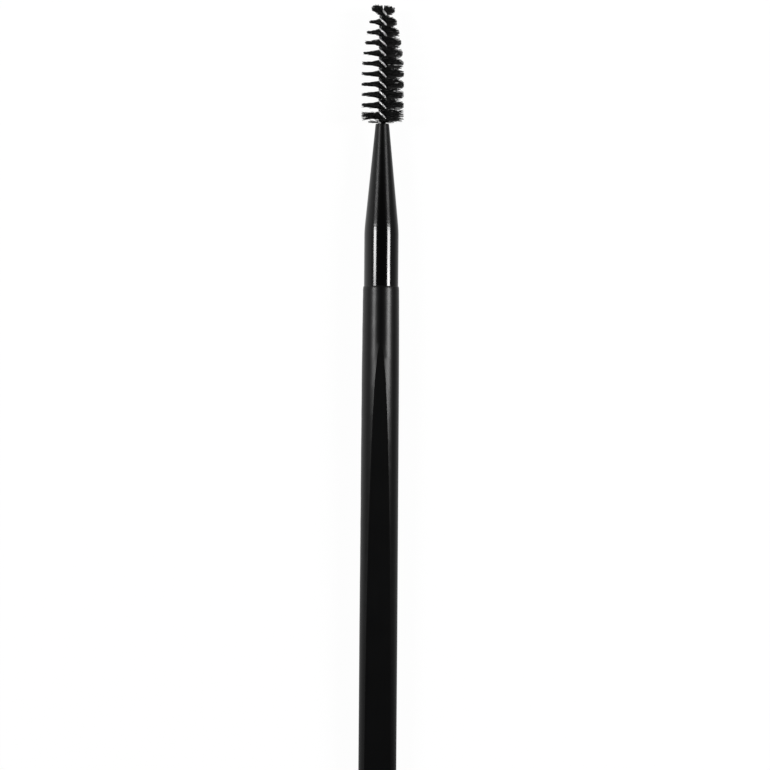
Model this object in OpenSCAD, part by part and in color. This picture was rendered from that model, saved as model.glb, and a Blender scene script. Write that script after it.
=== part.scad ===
// Eyebrow brush: a bristle head twisted in wire, a tapered ferrule and a long handle with two flats.
// All sizes are in millimetres. The brush lies on a table along Y with its head toward +Y.
// Along the brush, a place is its distance from the butt, the handle's free end.

/* [Handle] */
// Length of handle that shows behind the ferrule
handle_len = 121; // [100:0.2:150]
// Diameter where the handle meets the ferrule
neck_d = 7.22; // [6.9:0.02:7.4]
// Diameter at the end of the swelling behind the ferrule
swell_d = 7.5; // [7.42:0.02:7.6]
// Diameter at the butt
butt_d = 7.6; // [7.5:0.05:8]
// Length over which the neck swells
swell_len = 30; // [20:1:40]
// Depth of each flat at the butt
flat_depth = 1.1; // [0.6:0.02:1.3]
// Length over which a flat fades out toward the ferrule
flat_len = 115; // [80:1:118]
// Length of the turned-down tenon inside the ferrule
tenon_len = 9.5; // [6:0.5:10]
// Gap all round between the tenon and the ferrule
tenon_gap = 0.04; // [0.02:0.01:0.1]

/* [Ferrule] */
// Diameter of the straight part
ferrule_d = 6.86; // [6.4:0.02:6.9]
// Length of the straight part
straight_len = 11.2; // [10.4:0.2:16]
// Length of the cone
cone_len = 21.2; // [18:0.2:30]
// Diameter at the mouth, where the wire comes out
mouth_d = 2.7; // [2.6:0.02:3.5]
// Wall thickness of the tube
wall = 0.4; // [0.3:0.02:0.44]

/* [Head] */
// Length of the bristle head
head_len = 23.4; // [18:0.2:30]
// Largest diameter over the bristle tips
head_d = 8.5; // [7.8:0.1:9.5]
// Diameter over the bristle tips at the front end of the head
head_tip_d = 3.4; // [3:0.1:6]
// Length over which the head tapers
taper_len = 14.5; // [10:0.5:17]
// Bare wire between the ferrule and the first bristles
bare_len = 0.3; // [0.2:0.1:2]
// Length of wire for one full turn of the twist
twist_pitch = 4.14; // [3.9:0.02:5]

/* [Wire and bristles] */
// Diameter of the wire
wire_d = 0.5; // [0.4:0.02:0.52]
// Length of wire held inside the ferrule
stem_len = 12; // [8:0.5:14]
// Thickness of one bristle
bristle_d = 0.1; // [0.07:0.01:0.1]
// Thickness of the bundle of bristles between the wire's two legs
bundle_t = 0.7; // [0.5:0.05:0.75]
// Bristles laid through the wire in one full turn of the twist
bristles_per_turn = 38; // [24:2:38]
// Steepest slope of the bristles at the front end, in degrees
tip_slope = 78; // [40:1:80]

/* [Hidden] */

round_fn = 96;
flat_steps = 18;
arc_steps = 5;
rim_drop = 0.14;
rim_len = 0.9;
butt_round = 0.6;
tenon_chamfer = 0.5;
bend_before = 1;
bend_after = 1.8;
mouth_round = 0.1;
plug_setback = 0.8;
plug_floor = 1;
slide_gap = 0.01;
wire_sides = 10;
bristle_sides = 6;
bristle_layers = 7;
layer_skip = 4;
rings_per_turn = 12;
bend_rings = 5;
front_steps = 9;
fanned_bristles = 5;
twist_phase = 3.38;
tangent_step = 0.01;
end_taper_len = 1.6;
end_taper = 0.35;

neck_r = neck_d / 2;
swell_r = swell_d / 2;
butt_r = butt_d / 2;
flat_r = butt_r - flat_depth;

straight_end = handle_len + straight_len;
mouth_at = straight_end + cone_len;
tip_at = mouth_at + head_len + bare_len;

ferrule_r = ferrule_d / 2;
mouth_r = mouth_d / 2;
bore_r = ferrule_r - wall;
tenon_r = bore_r - tenon_gap;

head_r = head_d / 2;
wire_r = wire_d / 2;
leg_r = wire_r + bundle_t / 2 + slide_gap;
pair_r = leg_r + wire_r;
bend_r = wire_r + 2 * bristle_d;
// One bristle in each half turn stands upright, so that the head rests on a single tip.
bristle_step = twist_pitch / bristles_per_turn;
first_bristle = twist_phase - twist_pitch / 4 - front_steps * bristle_step;
wire_top = tip_at - first_bristle + bristle_d / 2 + slide_gap - (leg_r - wire_r);
wire_low = mouth_at - stem_len;

// The brush rests on the end of its lower flat and on the lowest long upright bristle.
rest_half_turns = floor(2 * (head_len - end_taper_len - twist_phase) / twist_pitch - 0.5);
rest_at = tip_at - twist_phase - twist_pitch * (0.25 + rest_half_turns / 2);
tilt = asin((head_r - flat_r) / rest_at);
half_len = (tip_at * cos(tilt) - flat_r * sin(tilt)) / 2;

function smooth_swell(t) = 1 - (1 - t) * (1 - t);

function handle_r(y) =
  let(u = handle_len - y, fade = min(1, max(0, (u - swell_len) / (swell_len * 1.3))))
  u < swell_len
    ? neck_r + (swell_r - neck_r) * smooth_swell(u / swell_len)
    : swell_r + (butt_r - swell_r) * fade;

// Points of a quarter ellipse that rounds an edge, in the direction the outline runs.
function edge_arc(cx, cy, rx, ry, from) =
  [for (i = [0:arc_steps]) let(a = from + 90 * i / arc_steps) [cx + rx * cos(a), cy + ry * sin(a)]];

function handle_outline() = concat(
  [[0, 0]],
  edge_arc(butt_r - butt_round, butt_round, butt_round, butt_round, -90),
  [for (i = [0:12]) let(y = handle_len - swell_len * 2.3 + i * swell_len * 2.2 / 12) [handle_r(y), y]],
  edge_arc(neck_r - rim_drop, handle_len - rim_len, rim_drop, rim_len, 0),
  [
    [tenon_r, handle_len],
    [tenon_r, handle_len + tenon_len - tenon_chamfer],
    [tenon_r - tenon_chamfer, handle_len + tenon_len],
    [0, handle_len + tenon_len]
  ]
);

// Stands a shape turned round the Z axis along the Y axis.
module along_brush() {
  rotate([-90, 0, 0]) children();
}

// Height of a flat over the handle's middle line. It is hollow ground, as on a very large wheel.
function flat_height(y) = flat_r + y * y * flat_depth / (flat_len * flat_len);

module flat_cutter() {
  over = butt_r + 1;
  last = flat_len * 1.04;
  curve = [for (i = [0:flat_steps]) let(y = last * i / flat_steps) [y, flat_height(y)]];
  rotate([90, 0, 90])
    linear_extrude(height = 2 * butt_d, center = true)
      polygon(concat([[last, over], [-1, over], [-1, flat_r]], curve));
}

module handle() {
  color([0.06, 0.06, 0.06])
    difference() {
      along_brush() rotate_extrude($fn = round_fn) polygon(handle_outline());
      flat_cutter();
      mirror([0, 0, 1]) flat_cutter();
    }
}

function cone_r(y) = ferrule_r + (mouth_r - ferrule_r) * (y - straight_end) / cone_len;

// One point of the soft bend where the straight part runs into the cone.
function bend_point(t) =
  let(
    a = [ferrule_r, straight_end - bend_before],
    b = [ferrule_r, straight_end],
    c = [cone_r(straight_end + bend_after), straight_end + bend_after]
  )
  a * (1 - t) * (1 - t) + b * 2 * t * (1 - t) + c * t * t;

function bend_points() = [for (i = [0:arc_steps]) bend_point(i / arc_steps)];

function inward(points) = [for (p = points) [p[0] - wall, p[1]]];

function reversed(list) = [for (i = [len(list) - 1:-1:0]) list[i]];

module ferrule() {
  outer = concat(
    [[ferrule_r, handle_len]],
    bend_points(),
    [[cone_r(mouth_at - mouth_round), mouth_at - mouth_round], [mouth_r - mouth_round, mouth_at]]
  );
  inner = concat(
    [[bore_r, handle_len]],
    inward(bend_points()),
    [[mouth_r - wall, mouth_at]]
  );
  color([0.03, 0.03, 0.03])
    along_brush() rotate_extrude($fn = round_fn) polygon(concat(outer, reversed(inner)));
}

module glue_plug() {
  front = mouth_at - plug_setback;
  socket_end = wire_low - wire_r;
  back = socket_end - plug_floor;
  plug = [
    [0, back],
    [cone_r(back) - wall - slide_gap, back],
    [cone_r(front) - wall - slide_gap, front],
    [pair_r + slide_gap, front],
    [pair_r + slide_gap, socket_end],
    [0, socket_end]
  ];
  color([0.8, 0.72, 0.5])
    along_brush() rotate_extrude($fn = round_fn) polygon(plug);
}

// Angle of the twist at a place along the brush. At 0 one leg of the wire is on top.
function twist(y) = 360 * (tip_at - twist_phase - y) / twist_pitch;

function leg_way(y) = [sin(twist(y)), 0, cos(twist(y))];

function bristle_way(y) = [cos(twist(y)), 0, -sin(twist(y))];

function unit(v) = v / norm(v);

// The wire's centre line, counted from one cut end over the fold to the other cut end.
function wire_point(t) =
  let(
    run = wire_top - wire_low,
    fold = 180,
    a = max(0, min(fold, t - run)),
    rise = t < run ? t - run : t > run + fold ? run + fold - t : leg_r * sin(a),
    y = wire_top + rise
  )
  leg_way(y) * leg_r * cos(a) + [0, y, 0];

function wire_ring(t) =
  let(
    p = wire_point(t),
    ahead = unit(wire_point(t + tangent_step) - wire_point(t - tangent_step)),
    n = unit(cross(ahead, bristle_way(p[1]))),
    b = cross(ahead, n)
  )
  [for (i = [0:wire_sides - 1]) p + wire_r * (n * cos(360 * i / wire_sides) + b * sin(360 * i / wire_sides))];

// Faces of a tube through rings of equal size, with a flat cap at each end.
function tube_faces(rings, sides, first = 0) = concat(
  [[for (i = [0:sides - 1]) first + i]],
  [
    for (r = [0:rings - 2])
      for (i = [0:sides - 1])
        let(a = first + r * sides, j = (i + 1) % sides)
        each [[a + i, a + sides + i, a + sides + j], [a + i, a + sides + j, a + j]]
  ],
  [[for (i = [sides - 1:-1:0]) first + (rings - 1) * sides + i]]
);

module wire() {
  run = wire_top - wire_low;
  steps = ceil(run / twist_pitch * rings_per_turn);
  ends = [tangent_step, 2 * run + 180 - tangent_step];
  climb = [for (i = [0:steps]) max(ends[0], run * i / steps)];
  fold = [for (i = [1:bend_rings]) run + 180 * i / (bend_rings + 1)];
  descend = [for (i = [0:steps]) min(ends[1], run + 180 + run * i / steps)];
  places = concat(climb, fold, descend);
  rings = [for (t = places) wire_ring(t)];
  color([0.75, 0.75, 0.77])
    polyhedron(
      points = [for (ring = rings) each ring],
      faces = tube_faces(len(rings), wire_sides)
    );
}

// Radius over the bristle tips at a place along the brush.
function tips_r(y) =
  let(
    left = max(0, 1 - (tip_at - y) / taper_len),
    low = max(0, 1 - (y - mouth_at - bare_len) / end_taper_len)
  )
  head_r - (head_r - head_tip_d / 2) * left * left - end_taper * low * low;

function bristle_at(i) = tip_at - first_bristle - i * bristle_step;

// Slope of a fanned bristle's two arms toward the front of the brush.
function fan_slope(i) = tip_slope * (1 - i / fanned_bristles);

// The bristles lie in layers between the wire's legs. An upright one lies in the middle layer.
function layer_shift(i) =
  let(
    half_turn = bristles_per_turn / 2,
    since_upright = (i + half_turn - front_steps) % half_turn,
    middle = (bristle_layers - 1) / 2,
    layer = (layer_skip * since_upright + middle) % bristle_layers
  )
  (layer - middle) * (bundle_t - bristle_d) / (bristle_layers - 1);

// Corners of a bristle at a place on one of its arms, given as [way out, way forward].
function arm_ring(y, side, place, slope = 0, stretch = 1, aside = 0) =
  let(
    out = bristle_way(y) * side,
    across = leg_way(y),
    along = [0, 1, 0],
    p = [0, y, 0] + out * place[0] + along * place[1] + across * aside,
    up = (along * cos(slope) - out * sin(slope)) * stretch
  )
  [
    for (k = [0:bristle_sides - 1])
      let(a = 360 * k / bristle_sides)
      p + bristle_d / 2 * (up * cos(a) + across * sin(a))
  ];

function plain_rings(i) =
  let(y = bristle_at(i), aside = layer_shift(i), reach = sqrt(tips_r(y) * tips_r(y) - aside * aside))
  [for (side = [-1, 1]) each arm_ring(y, side, [reach, 0], aside = aside)];

// A fanned bristle runs straight out past the wire's fold, then bends forward.
function fanned_rings(i) =
  let(
    y = bristle_at(i),
    s = fan_slope(i),
    room = tip_at - y - bristle_d / 2,
    reach = min((tips_r(y) - bend_r) / cos(s), room / sin(s)),
    bend = [bend_r, 0],
    tip = [bend_r + reach * cos(s), reach * sin(s)],
    stretch = 1 / cos(s / 2)
  )
  concat(
    arm_ring(y, -1, tip, s),
    arm_ring(y, -1, bend, s / 2, stretch),
    arm_ring(y, 1, [0, 0]),
    arm_ring(y, 1, bend, s / 2, stretch),
    arm_ring(y, 1, tip, s)
  );

module bristles() {
  low_end = mouth_at + bare_len + bristle_d;
  last = floor((tip_at - first_bristle - low_end) / bristle_step) - 1;
  fanned = [for (i = [0:fanned_bristles - 1]) each fanned_rings(i)];
  plain = [for (i = [fanned_bristles:last]) each plain_rings(i)];
  color([0.02, 0.02, 0.02])
    polyhedron(
      points = concat(fanned, plain),
      faces = concat(
        [for (i = [0:fanned_bristles - 1]) each tube_faces(5, bristle_sides, i * 5 * bristle_sides)],
        [
          for (i = [0:last - fanned_bristles])
            each tube_faces(2, bristle_sides, len(fanned) + i * 2 * bristle_sides)
        ]
      )
    );
}

// Lays the brush down, with the middle of its outline over the origin.
module lying() {
  translate([0, -half_len, flat_r * cos(tilt)]) rotate([tilt, 0, 0]) children();
}

lying() handle();
lying() ferrule();
lying() glue_plug();
lying() wire();
lying() bristles();
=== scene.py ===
import math
import random

import bpy
from bpy.props import FloatProperty, FloatVectorProperty, IntProperty, PointerProperty
from bpy.types import Operator, Panel, PropertyGroup
from mathutils import Matrix, Vector


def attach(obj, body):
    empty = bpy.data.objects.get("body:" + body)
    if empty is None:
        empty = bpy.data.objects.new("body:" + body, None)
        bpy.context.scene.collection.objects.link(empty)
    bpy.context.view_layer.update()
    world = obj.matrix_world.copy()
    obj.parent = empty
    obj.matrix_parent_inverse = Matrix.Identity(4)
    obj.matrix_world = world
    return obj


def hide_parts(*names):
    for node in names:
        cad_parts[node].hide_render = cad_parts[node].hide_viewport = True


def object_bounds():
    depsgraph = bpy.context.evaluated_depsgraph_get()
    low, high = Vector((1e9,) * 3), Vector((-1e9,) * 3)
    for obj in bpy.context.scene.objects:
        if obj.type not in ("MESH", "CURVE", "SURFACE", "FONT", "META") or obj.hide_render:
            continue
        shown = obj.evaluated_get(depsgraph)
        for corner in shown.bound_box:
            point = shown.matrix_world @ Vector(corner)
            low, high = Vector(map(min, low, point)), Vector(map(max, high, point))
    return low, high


bl_info = {
    "name": "Eyebrow brush",
    "version": (1, 0, 0),
    "blender": (4, 5, 0),
    "location": "3D View > Sidebar > Brush",
    "description": "Dresses the packed eyebrow brush in lacquer, gloss coating, steel and many bristles",
    "category": "Object",
}

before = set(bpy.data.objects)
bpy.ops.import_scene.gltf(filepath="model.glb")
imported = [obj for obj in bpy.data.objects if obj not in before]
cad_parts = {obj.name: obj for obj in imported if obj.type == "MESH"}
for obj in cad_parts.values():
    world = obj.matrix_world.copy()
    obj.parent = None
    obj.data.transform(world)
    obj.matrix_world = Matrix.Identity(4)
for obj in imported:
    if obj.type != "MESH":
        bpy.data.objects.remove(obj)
cad_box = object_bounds()

MM = 0.001

# Sizes of the brush that the part's source also states, in metres.
HANDLE_LEN = 121 * MM
STRAIGHT_LEN = 11.2 * MM
CONE_LEN = 21.2 * MM
BARE_LEN = 0.3 * MM
HEAD_LEN = 23.4 * MM
BUTT_FLAT_R = 2.7 * MM
END_TAPER_LEN = 1.6 * MM
END_TAPER = 0.35 * MM
TWIST_PHASE = 3.38 * MM
MOUTH_AT = HANDLE_LEN + STRAIGHT_LEN + CONE_LEN
TIP_AT = MOUTH_AT + BARE_LEN + HEAD_LEN

# Places along the brush, in the shared frame, between which the ferrule's coating grows duller.
CONE_FROM = 42 * MM
CONE_TO = 64 * MM

# Height of the brush's axis over the floor, at which the lamps aim.
AXIS_HEIGHT = 4 * MM

# Places along the brush between which the floor's painted reflection, a glow that only the brush's shine
# sees, grows bright.
FADE_FROM = -70 * MM
FADE_TO = 35 * MM

# Distance to either side of the brush beyond which that painted reflection is even.
BESIDE = 100 * MM

# The photograph, in its own pixels.
PHOTO_SIDE = 770
PHOTO_SCALE = 0.2 * MM
TIP_ROW = 5
AXIS_COLUMN = 380.3

# Width of the camera's sensor in its own millimetres, and how near and far it sees.
SENSOR_WIDTH = 36
NEAREST = 0.01
FARTHEST = 20

# Corners of the round floor, and the share of its radius that its raised rim takes.
FLOOR_SIDES = 96
FLOOR_RIM = 0.25

# The few arms that are modelled bend by these shares of the full bend.
BEND_SHARES = (-1.0, -0.4, 0.3, 1.0)

# Power by which an arm thins toward its tip.
THINNING_POWER = 4

# Powers that crowd random shares toward zero: how much shorter a bristle is than its neighbours,
# and how steep it is in a lobe.
SHORTER_POWER = 2
LOBE_POWER = 1.7

# Slope in radians above which a bristle is kept from reaching past the tip of the brush.
STEEP_FROM = 0.1

ROOT = "root"
BRISTLE_SEED = 41


# Shader nodes as Python sums


class Value:
    """A socket that gives a number, usable in Python sums, each of which adds one Math node."""

    def __init__(self, shade, socket):
        self.shade = shade
        self.socket = socket

    def math(self, operation, first, second):
        return self.shade.node("ShaderNodeMath", {"operation": operation}, {0: first, 1: second})

    def __add__(self, other):
        return self.math("ADD", self, other)

    def __radd__(self, other):
        return self.math("ADD", other, self)

    def __rsub__(self, other):
        return self.math("SUBTRACT", other, self)

    def __mul__(self, other):
        return self.math("MULTIPLY", self, other)

    def __rmul__(self, other):
        return self.math("MULTIPLY", other, self)


def set_stops(ramp, stops):
    """Gives a colour ramp its stops, each a place and a grey."""
    line = ramp.elements
    while len(line) < len(stops):
        line.new(0.5)
    for spot, (place, grey) in zip(line, stops):
        spot.position = place
        spot.color = (grey, grey, grey, 1)


class Shade:
    """A node tree and the ways to add nodes to it."""

    def __init__(self, tree):
        self.tree = tree

    def node(self, kind, settings=None, sockets=None, out=0):
        """Adds any node: first its settings, a ramp's stops among them, then its sockets."""
        made = self.tree.nodes.new(kind)
        for name, value in (settings or {}).items():
            if name == "stops":
                set_stops(made.color_ramp, value)
            else:
                setattr(made, name, value)
        for key, value in (sockets or {}).items():
            if isinstance(value, Value):
                self.tree.links.new(value.socket, made.inputs[key])
            else:
                made.inputs[key].default_value = value
        return Value(self, made.outputs[out]) if made.outputs else made

    def ramp(self, factor, stops):
        return self.node("ShaderNodeValToRGB", {"stops": stops}, {0: factor})

    def varied(self, factor, colour, low, high):
        """A colour that varies between two shares of its brightness."""
        darker = (*[low * c for c in colour], 1)
        lighter = (*[high * c for c in colour], 1)
        sockets = {"Factor": factor, "A": darker, "B": lighter}
        return self.node("ShaderNodeMix", {"data_type": "RGBA"}, sockets, out="Result")

    def place(self):
        """Object coordinates, in metres."""
        return self.node("ShaderNodeTexCoord", out="Object")

    def stretched(self, scale):
        """Object coordinates in millimetres, stretched by a scale for each direction."""
        size = [s / MM for s in scale]
        return self.node("ShaderNodeMapping", None, {"Vector": self.place(), "Scale": size})

    def coordinate(self, where, axis):
        return self.node("ShaderNodeSeparateXYZ", None, {0: where}, out=axis)

    def ranged(self, value, low, high, at_low, at_high):
        """A number that runs from one level to another while a value runs between two ends."""
        sockets = {0: value, 1: low, 2: high, 3: at_low, 4: at_high}
        return self.node("ShaderNodeMapRange", None, sockets)

    def noise(self, where, scale, detail):
        return self.node("ShaderNodeTexNoise", None, {"Vector": where, "Scale": scale, "Detail": detail})

    def bump(self, height, strength, distance):
        sockets = {"Height": height, "Strength": strength, "Distance": distance}
        return self.node("ShaderNodeBump", None, sockets)


# Finishes


def finish_of(name):
    """A new material, its shade and its main shader."""
    material = bpy.data.materials.new(name)
    material.use_nodes = True
    return material, Shade(material.node_tree), material.node_tree.nodes["Principled BSDF"]


def set_sockets(shade, shader, sockets):
    for name, value in sockets.items():
        if isinstance(value, Value):
            shade.tree.links.new(value.socket, shader.inputs[name])
        else:
            shader.inputs[name].default_value = value


def satin_lacquer(colours):
    """Black lacquer with a fine peel and faint brush marks along the handle."""
    material, shade, shader = finish_of("handle_satin_lacquer")
    even = shade.stretched((1, 1, 1))
    peel = shade.noise(even, 0.9, 2)
    along = shade.noise(shade.stretched((2.2, 0.05, 2.2)), 1, 4)
    cloud = shade.noise(even, 0.12, 3)
    set_sockets(shade, shader, {
        "Base Color": shade.varied(cloud, colours.handle, 0.8, 1.2),
        "Roughness": 0.25 + 0.06 * along + 0.05 * cloud,
        "Specular IOR Level": 0.37,
        "Normal": shade.bump(0.6 * peel + 0.4 * along, 0.06, 0.02 * MM),
    })
    return material


def gloss_coating(colours):
    """Smooth black coating, clear on the straight part and duller toward the mouth of the cone."""
    material, shade, shader = finish_of("ferrule_gloss_coating")
    even = shade.stretched((1, 1, 1))
    wave = shade.noise(shade.stretched((0.5, 0.12, 0.5)), 1, 1)
    haze = shade.noise(even, 0.7, 4)
    duller = shade.ranged(shade.coordinate(shade.place(), "Y"), CONE_FROM, CONE_TO, 0.0, 1.0)
    set_sockets(shade, shader, {
        "Base Color": shade.varied(haze, colours.ferrule, 0.8, 1.2),
        "Roughness": 0.1 + 0.04 * haze + 0.18 * duller,
        "Normal": shade.bump(wave, 0.02, 0.05 * MM),
    })
    return material


def bright_wire(colours):
    """Drawn steel with fine marks."""
    material, shade, shader = finish_of("bright_drawn_wire")
    marks = shade.noise(shade.stretched((1, 1, 1)), 6, 4)
    set_sockets(shade, shader, {
        "Base Color": shade.varied(marks, colours.wire, 0.9, 1.0),
        "Metallic": 1.0,
        "Roughness": 0.42 + 0.12 * marks,
    })
    return material


def clear_resin(colours):
    """Cured resin, a little cloudy."""
    material, shade, shader = finish_of("cured_resin")
    cloud = shade.noise(shade.stretched((1, 1, 1)), 1.2, 3)
    set_sockets(shade, shader, {
        "Base Color": shade.varied(cloud, colours.resin, 0.85, 1.0),
        "Roughness": 0.2 + 0.1 * cloud,
    })
    return material


def black_nylon(colours):
    """Matt black nylon."""
    material, shade, shader = finish_of("black_nylon")
    patches = shade.noise(shade.stretched((1, 1, 1)), 2.5, 2)
    set_sockets(shade, shader, {
        "Base Color": shade.varied(patches, colours.bristles, 0.6, 1.5),
        "Roughness": 0.42 + 0.12 * patches,
        "Specular IOR Level": 0.25,
    })
    return material


# Places along the brush


def lying(settings):
    """Carries the brush's own frame, +Y from the butt to the tip, to the way it lies."""
    half_turns = math.floor(2 * (HEAD_LEN - END_TAPER_LEN - TWIST_PHASE) / settings.twist_pitch - 0.5)
    rest_at = TIP_AT - TWIST_PHASE - settings.twist_pitch * (0.25 + half_turns / 2)
    tilt = math.asin((settings.head_d / 2 - BUTT_FLAT_R) / rest_at)
    half_len = (TIP_AT * math.cos(tilt) - BUTT_FLAT_R * math.sin(tilt)) / 2
    lift = Matrix.Translation((0, -half_len, BUTT_FLAT_R * math.cos(tilt)))
    return lift @ Matrix.Rotation(tilt, 4, "X")


def tips_r(settings, y):
    """Radius over the bristle tips at a place along the brush."""
    left = max(0, 1 - (TIP_AT - y) / settings.taper_len)
    low = max(0, 1 - (y - MOUTH_AT - BARE_LEN) / END_TAPER_LEN)
    head_r = settings.head_d / 2
    return head_r - (head_r - settings.head_tip_d / 2) * left * left - END_TAPER * low * low


# Pieces


def deselect_all():
    for thing in bpy.context.selected_objects:
        thing.select_set(False)


def make_active(piece):
    deselect_all()
    piece.select_set(True)
    bpy.context.view_layer.objects.active = piece


def give_material(piece, material):
    piece.data.materials.clear()
    piece.data.materials.append(material)


def repaint(node, material):
    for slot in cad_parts[node].material_slots:
        slot.material = material


# The bristle head


def model_arm(settings, bend):
    """Half a bristle, from the wire out along +X, tapered at its tip and bent toward +Z."""
    deselect_all()
    reach = settings.head_d / 2
    bpy.ops.mesh.primitive_cylinder_add(
        vertices=settings.bristle_sides, radius=settings.bristle_d / 2, depth=reach,
        location=(reach / 2, 0, 0), rotation=(0, math.pi / 2, 0),
    )
    arm = bpy.context.object
    bpy.ops.object.transform_apply(location=True, rotation=True, scale=True)
    bpy.ops.object.mode_set(mode="EDIT")
    bpy.ops.mesh.select_mode(type="EDGE")
    bpy.ops.mesh.select_all(action="DESELECT")
    bpy.ops.object.mode_set(mode="OBJECT")
    for edge in arm.data.edges:
        ends = [arm.data.vertices[i].co.x for i in edge.vertices]
        edge.select = abs(ends[0] - ends[1]) > reach / 2
    bpy.ops.object.mode_set(mode="EDIT")
    bpy.ops.mesh.subdivide(number_cuts=settings.bristle_joints)
    bpy.ops.object.mode_set(mode="OBJECT")
    for spot in arm.data.vertices:
        out = spot.co.x / reach
        thin = 1 - settings.tip_thinning * out ** THINNING_POWER
        spot.co.y *= thin
        spot.co.z = spot.co.z * thin + bend * reach * out * out
    for face in arm.data.polygons:
        face.use_smooth = len(face.vertices) == 4
    return arm


def arm_matrix(settings, y, turn, slope, reach):
    """Puts an arm's root at a place along the brush, turned round it and sloped toward the tip."""
    along = Vector((0, 1, 0))
    flat = Vector((math.cos(turn), 0, -math.sin(turn)))
    way = flat * math.cos(slope) + along * math.sin(slope)
    up = along * math.cos(slope) - flat * math.sin(slope)
    side = up.cross(way)
    stretch = reach / (settings.head_d / 2)
    turned = Matrix((way * stretch, side, up)).transposed().to_4x4()
    return Matrix.Translation((0, y, 0)) @ turned


def twist(settings, y):
    """Angle of the wire's twist at a place along the brush."""
    return math.tau * (TIP_AT - TWIST_PHASE - y) / settings.twist_pitch


def bristle_slope(settings, y, turn, chance):
    """Slope of a bristle toward the tip of the brush: steep at the front end, loose at the low end."""
    past = TIP_AT - settings.first_bristle - y
    rise = max(0.0, 1 - past / settings.slope_span)
    low = max(0.0, 1 - (y - MOUTH_AT - BARE_LEN) / settings.loose_span)
    spread = settings.lean + settings.right_lean * max(0.0, math.cos(turn)) + settings.loose_lean * low
    return settings.tip_slope * rise + chance.gauss(0, 1) * spread


def clearance(settings, y):
    """How far the tip of a bristle may droop toward the ferrule, or less than zero where it has to rise."""
    return y - MOUTH_AT - settings.low_clear


def body_arms(settings, chance):
    """Place, turn, slope and reach of each half bristle along the head."""
    front = TIP_AT - settings.first_bristle
    low = MOUTH_AT + settings.bristle_d
    for k in range(settings.bristle_count):
        y = front - (front - low) * (k + chance.uniform(-0.5, 0.5)) / settings.bristle_count
        y = min(front, max(low, y))
        turn = twist(settings, y) + chance.gauss(0, settings.stray_turn)
        for half_turn in (0, math.pi):
            slope = min(bristle_slope(settings, y, turn + half_turn, chance), settings.steepest)
            uneven = settings.uneven * (1 - settings.right_even * max(0.0, math.cos(turn + half_turn)))
            out = tips_r(settings, y) - chance.random() ** SHORTER_POWER * uneven
            slope = max(slope, -math.atan(clearance(settings, y) / out))
            yield y, turn + half_turn, slope, out / math.cos(slope)


def lobe_arms(settings, chance):
    """The same for the bristles that fan out into two lobes at the front end."""
    for _ in range(settings.lobe_count):
        y = TIP_AT - settings.first_bristle - chance.random() * settings.lobe_depth
        turn = twist(settings, y) + chance.gauss(0, settings.stray_turn)
        for half_turn in (0, math.pi):
            steeper = settings.lobe_high - settings.lobe_low
            slope = settings.lobe_low + steeper * chance.random() ** LOBE_POWER
            shorter = chance.random() ** SHORTER_POWER * settings.lobe_uneven
            reach = (settings.lobe_reach - shorter) / math.cos(slope)
            highest = (TIP_AT - y - settings.lobe_top) / math.sin(slope)
            yield y, turn + half_turn, slope, min(reach, highest)


def low_arms(settings, chance):
    """The same for the untidy bristles that droop toward the ferrule."""
    for _ in range(settings.low_count):
        y = MOUTH_AT + settings.bristle_d + chance.random() * settings.low_span
        turn = twist(settings, y) + chance.gauss(0, settings.low_turn)
        for half_turn in (0, math.pi):
            reach = tips_r(settings, y) - chance.random() * settings.low_uneven
            droop = math.atan(clearance(settings, y) / reach)
            yield y, turn + half_turn, chance.uniform(-droop, max(0.0, -droop)), reach


def lay_arm(settings, model, aside, y, turn, slope, reach):
    """Copies a modelled arm to its place, a little aside between the wire's legs."""
    shift = Matrix.Translation(Vector((math.sin(turn), 0, math.cos(turn))) * aside)
    shape = model.data.copy()
    shape.transform(lying(settings) @ shift @ arm_matrix(settings, y, turn, slope, reach))
    arm = bpy.data.objects.new("arm", shape)
    bpy.context.collection.objects.link(arm)
    return arm


def joined(pieces, name):
    deselect_all()
    for piece in pieces:
        piece.select_set(True)
    bpy.context.view_layer.objects.active = pieces[0]
    bpy.ops.object.join()
    whole = bpy.context.object
    whole.name = name
    whole.data.name = name
    return whole


def trim(head):
    """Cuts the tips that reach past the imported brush."""
    lowest, highest = cad_box
    for spot in head.data.vertices:
        spot.co = [min(max(c, low), high) for c, low, high in zip(spot.co, lowest, highest)]


def make_bristles(settings, material):
    chance = random.Random(BRISTLE_SEED)
    models = [model_arm(settings, settings.bend * share) for share in BEND_SHARES]
    arms = []
    for maker in (body_arms, lobe_arms, low_arms):
        for y, turn, slope, reach in maker(settings, chance):
            if slope > STEEP_FROM:
                room = TIP_AT - y - settings.bristle_d
                reach = min(reach, room / math.sin(slope))
            aside = chance.uniform(-1, 1) * settings.bundle_half
            arms.append(lay_arm(settings, chance.choice(models), aside, y, turn, slope, reach))
    for model in models:
        bpy.data.objects.remove(model)
    head = joined(arms, "bristle_head")
    trim(head)
    give_material(head, material)
    return head


# Stage


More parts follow.
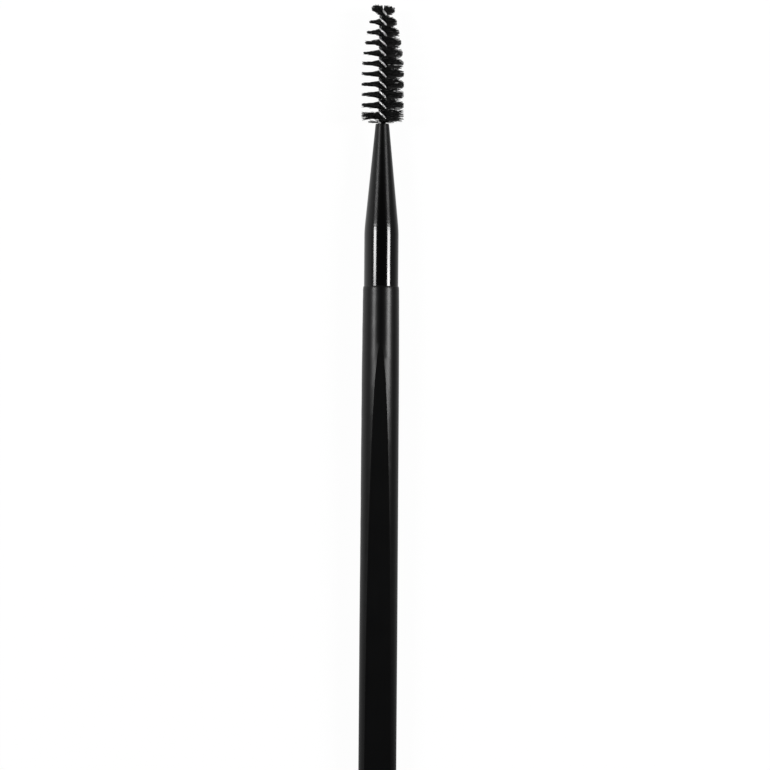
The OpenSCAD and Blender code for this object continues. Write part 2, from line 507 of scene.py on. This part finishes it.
def pale_floor(colours):
    """White to the eye and matt white for the light, so that shadows stay; in what the brush mirrors it
    glows instead with a painted reflection, brighter close to the brush, on the left and toward the head.
    """
    material = bpy.data.materials.new("pale_floor")
    material.use_nodes = True
    shade = Shade(material.node_tree)
    material.node_tree.nodes.clear()
    matt = shade.node("ShaderNodeBsdfDiffuse", None, {"Color": (*colours.floor, 1)})
    glow = shade.node("ShaderNodeEmission", None, {"Color": (1, 1, 1, 1), "Strength": colours.glow_level})
    seen = shade.node("ShaderNodeLightPath", out="Is Camera Ray")
    mirrored = shade.node("ShaderNodeLightPath", out="Is Glossy Ray")
    # Painted reflection: a glow that only glossy rays see, fading toward the butt and set to either side,
    # paints the shine on the brush's sides.
    across = shade.coordinate(shade.place(), "X")
    along = shade.coordinate(shade.place(), "Y")
    painted_fade = shade.ranged(along, FADE_FROM, FADE_TO, colours.painted_mirror_low, 1.0)
    painted_side_glow = shade.ramp(across * (0.5 / BESIDE) + 0.5, [
        (0.0, colours.painted_mirror_left), (0.45, colours.painted_mirror_near), (0.51, colours.painted_mirror_near),
        (0.56, colours.painted_mirror_mid), (0.68, colours.painted_mirror_right), (1.0, colours.painted_mirror_right),
    ])
    painted_reflection = shade.node("ShaderNodeEmission", None, {"Color": painted_fade * painted_side_glow, "Strength": 1.0})
    eye = shade.node("ShaderNodeMixShader", None, {0: seen * colours.floor_glow, 1: matt, 2: glow})
    both = shade.node("ShaderNodeMixShader", None, {0: mirrored, 1: eye, 2: painted_reflection})
    shade.node("ShaderNodeOutputMaterial", None, {"Surface": both})
    return material


def soft_box(name, side, low, high, radiance, distance):
    """A lamp parallel to the brush, turned round it to one side, between two places along it."""
    turned, width = side
    way = Vector((math.sin(turned), 0, math.cos(turned)))
    across = Vector((math.cos(turned), 0, -math.sin(turned)))
    lamp = bpy.data.lights.new(name, "AREA")
    lamp.shape = "RECTANGLE"
    lamp.size = width
    lamp.size_y = high - low
    lamp.energy = radiance * math.pi * width * (high - low)
    holder = bpy.data.objects.new(name, lamp)
    bpy.context.collection.objects.link(holder)
    turn = Matrix((across, Vector((0, 1, 0)), way)).transposed().to_4x4()
    middle = Vector((0, (low + high) / 2, AXIS_HEIGHT))
    holder.matrix_world = Matrix.Translation(middle + way * distance) @ turn


def make_lamps(lamps):
    """A soft box on each side, its faint end over the cone, and a small strong one low on the right."""
    left = (lamps.left_turn, lamps.left_width)
    right = (lamps.right_turn, lamps.right_width)
    distance = lamps.distance
    soft_box("left_box", left, lamps.bright_from, lamps.bright_to, lamps.left_radiance, distance)
    soft_box("left_rim", left, lamps.bright_to, lamps.faint_to, lamps.left_faint, distance)
    soft_box("right_low", right, lamps.low_from, lamps.bright_from, lamps.low_radiance, distance)
    soft_box("right_box", right, lamps.bright_from, lamps.bright_to, lamps.right_radiance, distance)
    soft_box("right_rim", right, lamps.bright_to, lamps.faint_to, lamps.right_faint, distance)


def make_floor(settings, colours):
    """A round floor whose rim rises to a low wall."""
    deselect_all()
    bpy.ops.mesh.primitive_circle_add(vertices=FLOOR_SIDES, radius=settings.floor_radius, fill_type="NGON")
    floor = bpy.context.object
    floor.name = "floor"
    bpy.ops.object.mode_set(mode="EDIT")
    bpy.ops.mesh.select_mode(type="VERT")
    bpy.ops.mesh.select_all(action="SELECT")
    bpy.ops.mesh.inset(thickness=settings.floor_radius * FLOOR_RIM)
    bpy.ops.mesh.select_all(action="DESELECT")
    bpy.ops.object.mode_set(mode="OBJECT")
    inner_half = settings.floor_radius * (1 - FLOOR_RIM / 2)
    for spot in floor.data.vertices:
        spot.select = spot.co.length > inner_half
    bpy.ops.object.mode_set(mode="EDIT")
    bpy.ops.transform.translate(value=(0, 0, settings.wall_height))
    bpy.ops.object.mode_set(mode="OBJECT")
    make_active(floor)
    for face in floor.data.polygons:
        face.use_smooth = False
    give_material(floor, pale_floor(colours))


def make_world(colours):
    """A dim room, with its own level low on each side and over the brush."""
    world = bpy.data.worlds.new("studio")
    world.use_nodes = True
    bpy.context.scene.world = world
    shade = Shade(world.node_tree)
    world.node_tree.nodes.clear()
    way = shade.node("ShaderNodeTexCoord", out="Generated")
    side = shade.ranged(shade.coordinate(way, "X"), -0.5, 0.5, colours.left_level, colours.right_level)
    up = shade.ramp(shade.coordinate(way, "Z"), [(0.0, 0.0), (0.45, 0.0), (0.8, 1.0), (1.0, 1.0)])
    level = side * (1 - up) + colours.ceiling_level * up
    dome = shade.node("ShaderNodeBackground", None, {"Color": level, "Strength": 1.0})
    shade.node("ShaderNodeOutputWorld", None, {"Surface": dome})


def make_camera(settings):
    """Looks straight down, with the photograph's perspective and its slight turn."""
    place = lying(settings)
    tip = place @ Vector((0, TIP_AT, 0))
    middle = PHOTO_SIDE / 2
    axis_height = (place @ Vector((0, HANDLE_LEN / 2, 0))).z
    nearer = 1 - (tip.z - axis_height) / settings.camera_distance
    x = (middle - AXIS_COLUMN) * PHOTO_SCALE
    y = tip.y - (middle - TIP_ROW) * PHOTO_SCALE * nearer
    view = bpy.data.cameras.new("camera")
    view.sensor_width = SENSOR_WIDTH
    half_width = middle * PHOTO_SCALE
    view.lens = SENSOR_WIDTH / 2 * settings.camera_distance / half_width
    view.clip_start = NEAREST
    view.clip_end = FARTHEST
    holder = bpy.data.objects.new("camera", view)
    bpy.context.collection.objects.link(holder)
    holder.location = (x, y, settings.camera_distance + axis_height)
    holder.rotation_euler = (0, 0, settings.camera_roll)
    bpy.context.scene.camera = holder


class BrushSizes(PropertyGroup):
    head_d: FloatProperty(
        name="Head diameter", description="Largest diameter over the bristle tips",
        default=8.5 * MM, unit="LENGTH")
    head_tip_d: FloatProperty(
        name="Front diameter", description="Diameter over the tips at the front end",
        default=3.4 * MM, unit="LENGTH")
    taper_len: FloatProperty(
        name="Taper length", description="Length over which the head tapers",
        default=14.5 * MM, unit="LENGTH")
    twist_pitch: FloatProperty(
        name="Twist pitch", description="Length of wire for one full turn",
        default=4.14 * MM, unit="LENGTH")
    bristle_d: FloatProperty(
        name="Bristle thickness", description="Thickness of one bristle", default=0.1 * MM, unit="LENGTH")
    bristle_count: IntProperty(
        name="Bristles", description="Number of bristles laid through the wire", default=1800)
    bristle_sides: IntProperty(
        name="Bristle sides", description="Number of sides of a bristle", default=5)
    bristle_joints: IntProperty(
        name="Bristle joints", description="Places where half a bristle can bend", default=2)
    tip_thinning: FloatProperty(
        name="Tip thinning", description="Share by which a bristle is thinner at its tip", default=0.3)
    first_bristle: FloatProperty(
        name="First bristle", description="From the tip of the head to the first bristle's root",
        default=1.36 * MM, unit="LENGTH")
    slope_span: FloatProperty(
        name="Slope span", description="Length over which the front bristles stand up",
        default=0.6 * MM, unit="LENGTH")
    tip_slope: FloatProperty(
        name="Front slope", description="Slope of the very first bristles",
        default=math.radians(80), subtype="ANGLE")
    steepest: FloatProperty(
        name="Steepest", description="No bristle slopes more than this",
        default=math.radians(84), subtype="ANGLE")
    right_lean: FloatProperty(
        name="Right lean", description="Extra slope of the bristles that splay on the right",
        default=math.radians(1.5), subtype="ANGLE")
    right_even: FloatProperty(
        name="Right evenness", description="Share of the uneven cut that the right side lacks",
        default=1.0)
    lobe_count: IntProperty(
        name="Lobe bristles", description="Number of bristles in the two lobes at the front end",
        default=240)
    lobe_depth: FloatProperty(
        name="Lobe depth", description="Length of wire that holds the lobes' bristles",
        default=0.6 * MM, unit="LENGTH")
    lobe_low: FloatProperty(
        name="Lobe low slope", description="Least slope in the lobes",
        default=math.radians(6), subtype="ANGLE")
    lobe_high: FloatProperty(
        name="Lobe high slope", description="Steepest slope in the lobes",
        default=math.radians(72), subtype="ANGLE")
    lobe_reach: FloatProperty(
        name="Lobe reach", description="Reach of the lobes to either side",
        default=2.38 * MM, unit="LENGTH")
    lobe_top: FloatProperty(
        name="Lobe top", description="From the tip of the head to the top of the lobes",
        default=0.38 * MM, unit="LENGTH")
    lobe_uneven: FloatProperty(
        name="Lobe unevenness", description="Most that a lobe's bristle is shorter than its neighbours",
        default=0.25 * MM, unit="LENGTH")
    low_count: IntProperty(
        name="Low bristles", description="Number of untidy bristles at the low end", default=70)
    low_clear: FloatProperty(
        name="Low clearance", description="From the ferrule to the lowest drooping tip",
        default=0.7 * MM, unit="LENGTH")
    low_span: FloatProperty(
        name="Low length", description="Length of wire that holds the untidy bristles",
        default=1.6 * MM, unit="LENGTH")
    low_turn: FloatProperty(
        name="Low turn", description="Usual angle between an untidy bristle and its place in the twist",
        default=math.radians(14), subtype="ANGLE")
    low_uneven: FloatProperty(
        name="Low unevenness", description="Most that an untidy bristle is shorter than its neighbours",
        default=1.2 * MM, unit="LENGTH")
    lean: FloatProperty(
        name="Lean", description="Usual slope of a bristle to either side",
        default=math.radians(1.3), subtype="ANGLE")
    loose_span: FloatProperty(
        name="Loose length", description="Length at the low end where bristles stand untidy",
        default=3.5 * MM, unit="LENGTH")
    loose_lean: FloatProperty(
        name="Loose lean", description="Extra slope of the untidy bristles",
        default=math.radians(5), subtype="ANGLE")
    bend: FloatProperty(
        name="Bend", description="How far a bristle's tip bends aside, as a share of its length",
        default=0.035)
    stray_turn: FloatProperty(
        name="Stray turn", description="Usual angle between a bristle and its place in the twist",
        default=math.radians(4), subtype="ANGLE")
    bundle_half: FloatProperty(
        name="Bundle", description="Half the thickness of the bundle between the wire's legs",
        default=0.3 * MM, unit="LENGTH")
    uneven: FloatProperty(
        name="Uneven cut", description="Most that a bristle is shorter than its neighbours",
        default=0.6 * MM, unit="LENGTH")
    camera_distance: FloatProperty(
        name="Camera distance", description="Height of the camera over the brush",
        default=404 * MM, unit="LENGTH")
    camera_roll: FloatProperty(
        name="Camera turn", description="Turn of the camera round its line of sight",
        default=math.radians(0.45), subtype="ANGLE")
    floor_radius: FloatProperty(
        name="Floor radius", description="Radius of the floor and its wall", default=2.4, unit="LENGTH")
    wall_height: FloatProperty(
        name="Wall height", description="Height to which the floor's rim rises",
        default=0.66, unit="LENGTH")


class BrushColours(PropertyGroup):
    handle: FloatVectorProperty(
        name="Handle", description="Satin lacquer", subtype="COLOR", default=(0.0028, 0.0028, 0.003))
    ferrule: FloatVectorProperty(
        name="Ferrule", description="Gloss coating", subtype="COLOR", default=(0.0012, 0.0012, 0.0013))
    wire: FloatVectorProperty(
        name="Wire", description="Bright steel", subtype="COLOR", default=(0.9, 0.9, 0.9))
    resin: FloatVectorProperty(
        name="Resin", description="Cured resin", subtype="COLOR", default=(0.75, 0.66, 0.42))
    bristles: FloatVectorProperty(
        name="Bristles", description="Black nylon", subtype="COLOR", default=(0.006, 0.006, 0.006))
    floor: FloatVectorProperty(
        name="Floor", description="Matt white floor", subtype="COLOR", default=(0.9, 0.9, 0.9))
    floor_glow: FloatProperty(
        name="Floor glow", description="Share of the floor's look that no shadow reaches", default=0.92)
    glow_level: FloatProperty(
        name="Glow level", description="Brightness of that share", default=1.04)
    # Painted reflection: levels of the floor's glow that only the brush's glossy sides see, not how bright
    # the lit floor is.
    painted_mirror_low: FloatProperty(
        name="Mirrored low", description="Share of the floor's brightness that the butt mirrors",
        default=0.33)
    painted_mirror_near: FloatProperty(
        name="Mirrored near", description="Brightness of the mirrored floor close to the brush",
        default=0.76)
    painted_mirror_mid: FloatProperty(
        name="Mirrored middle", description="Brightness of the mirrored floor a little to the right",
        default=0.4)
    painted_mirror_left: FloatProperty(
        name="Mirrored left", description="Brightness of the mirrored floor far to the left",
        default=0.56)
    painted_mirror_right: FloatProperty(
        name="Mirrored right", description="Brightness of the mirrored floor far to the right",
        default=0.2)
    left_level: FloatProperty(
        name="Left level", description="Brightness of the room low to the left", default=0.35)
    right_level: FloatProperty(
        name="Right level", description="Brightness of the room low to the right", default=0.15)
    ceiling_level: FloatProperty(
        name="Ceiling level", description="Brightness of the room above the brush", default=0.035)


class BrushLamps(PropertyGroup):
    distance: FloatProperty(
        name="Distance", description="Distance of the lamps from the brush's axis",
        default=0.6, unit="LENGTH")
    left_turn: FloatProperty(
        name="Left turn", description="Angle of the left lamp from upright",
        default=math.radians(-43.5), subtype="ANGLE")
    right_turn: FloatProperty(
        name="Right turn", description="Angle of the right lamp from upright",
        default=math.radians(51), subtype="ANGLE")
    left_width: FloatProperty(
        name="Left width", description="Width of the left lamp", default=0.17, unit="LENGTH")
    right_width: FloatProperty(
        name="Right width", description="Width of the right lamp", default=0.19, unit="LENGTH")
    low_from: FloatProperty(
        name="Low from", description="Place along the brush where the small low lamp begins",
        default=30 * MM, unit="LENGTH")
    bright_from: FloatProperty(
        name="Bright from", description="Place along the brush where the lamps' bright part begins",
        default=52 * MM, unit="LENGTH")
    bright_to: FloatProperty(
        name="Bright to", description="Place along the brush where the lamps' bright part ends",
        default=160 * MM, unit="LENGTH")
    faint_to: FloatProperty(
        name="Faint to", description="Place along the brush where the lamps' faint part ends",
        default=300 * MM, unit="LENGTH")
    left_radiance: FloatProperty(
        name="Left radiance", description="Radiance of the left lamp's bright part", default=23)
    right_radiance: FloatProperty(
        name="Right radiance", description="Radiance of the right lamp's bright part", default=20)
    low_radiance: FloatProperty(
        name="Low radiance", description="Radiance of the small low lamp", default=42)
    left_faint: FloatProperty(
        name="Left faint", description="Radiance of the left lamp's faint part", default=0.6)
    right_faint: FloatProperty(
        name="Right faint", description="Radiance of the right lamp's faint part", default=0.3)


class BrushHandle(Operator):
    """Gives the handle its satin black lacquer"""

    bl_idname = "brush.handle"
    bl_label = "Lacquer the handle"

    def execute(self, context):
        repaint("handle", satin_lacquer(context.scene.brush_colours))
        return {"FINISHED"}


class BrushFerrule(Operator):
    """Gives the ferrule its gloss black coating and the plug inside it its resin"""

    bl_idname = "brush.ferrule"
    bl_label = "Coat the ferrule"

    def execute(self, context):
        repaint("ferrule", gloss_coating(context.scene.brush_colours))
        repaint("glue_plug", clear_resin(context.scene.brush_colours))
        return {"FINISHED"}


class BrushWire(Operator):
    """Gives the twisted wire its bright steel"""

    bl_idname = "brush.wire"
    bl_label = "Brighten the wire"

    def execute(self, context):
        repaint("wire", bright_wire(context.scene.brush_colours))
        return {"FINISHED"}


class BrushBristles(Operator):
    """Fills the head with fine, slightly bent bristles"""

    bl_idname = "brush.bristles"
    bl_label = "Fill the head"

    def execute(self, context):
        scene = context.scene
        head = make_bristles(scene.brush_sizes, black_nylon(scene.brush_colours))
        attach(head, ROOT)
        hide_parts("bristles")
        return {"FINISHED"}


class BrushStage(Operator):
    """Sets up the floor, the lamps and the camera"""

    bl_idname = "brush.stage"
    bl_label = "Set the stage"

    def execute(self, context):
        scene = context.scene
        make_floor(scene.brush_sizes, scene.brush_colours)
        make_world(scene.brush_colours)
        make_lamps(scene.brush_lamps)
        make_camera(scene.brush_sizes)
        scene.view_settings.view_transform = "Standard"
        return {"FINISHED"}


class BrushPanel(Panel):
    bl_idname = "VIEW3D_PT_brush"
    bl_label = "Eyebrow brush"
    bl_space_type = "VIEW_3D"
    bl_region_type = "UI"
    bl_category = "Brush"

    def draw(self, context):
        for step in STEPS:
            self.layout.operator(step.bl_idname)
        scene = context.scene
        for group in (scene.brush_sizes, scene.brush_colours, scene.brush_lamps):
            for name in group.bl_rna.properties.keys():
                if name not in ("rna_type", "name"):
                    self.layout.prop(group, name)


STEPS = (BrushHandle, BrushFerrule, BrushWire, BrushBristles, BrushStage)
CLASSES = (BrushSizes, BrushColours, BrushLamps, *STEPS, BrushPanel)


def register():
    for made in CLASSES:
        bpy.utils.register_class(made)
    bpy.types.Scene.brush_sizes = PointerProperty(type=BrushSizes)
    bpy.types.Scene.brush_colours = PointerProperty(type=BrushColours)
    bpy.types.Scene.brush_lamps = PointerProperty(type=BrushLamps)


def unregister():
    del bpy.types.Scene.brush_lamps
    del bpy.types.Scene.brush_colours
    del bpy.types.Scene.brush_sizes
    for made in reversed(CLASSES):
        bpy.utils.unregister_class(made)


def main():
    register()
    bpy.ops.brush.handle()
    bpy.ops.brush.ferrule()
    bpy.ops.brush.wire()
    bpy.ops.brush.bristles()
    bpy.ops.brush.stage()


if __name__ == "__main__":
    main()
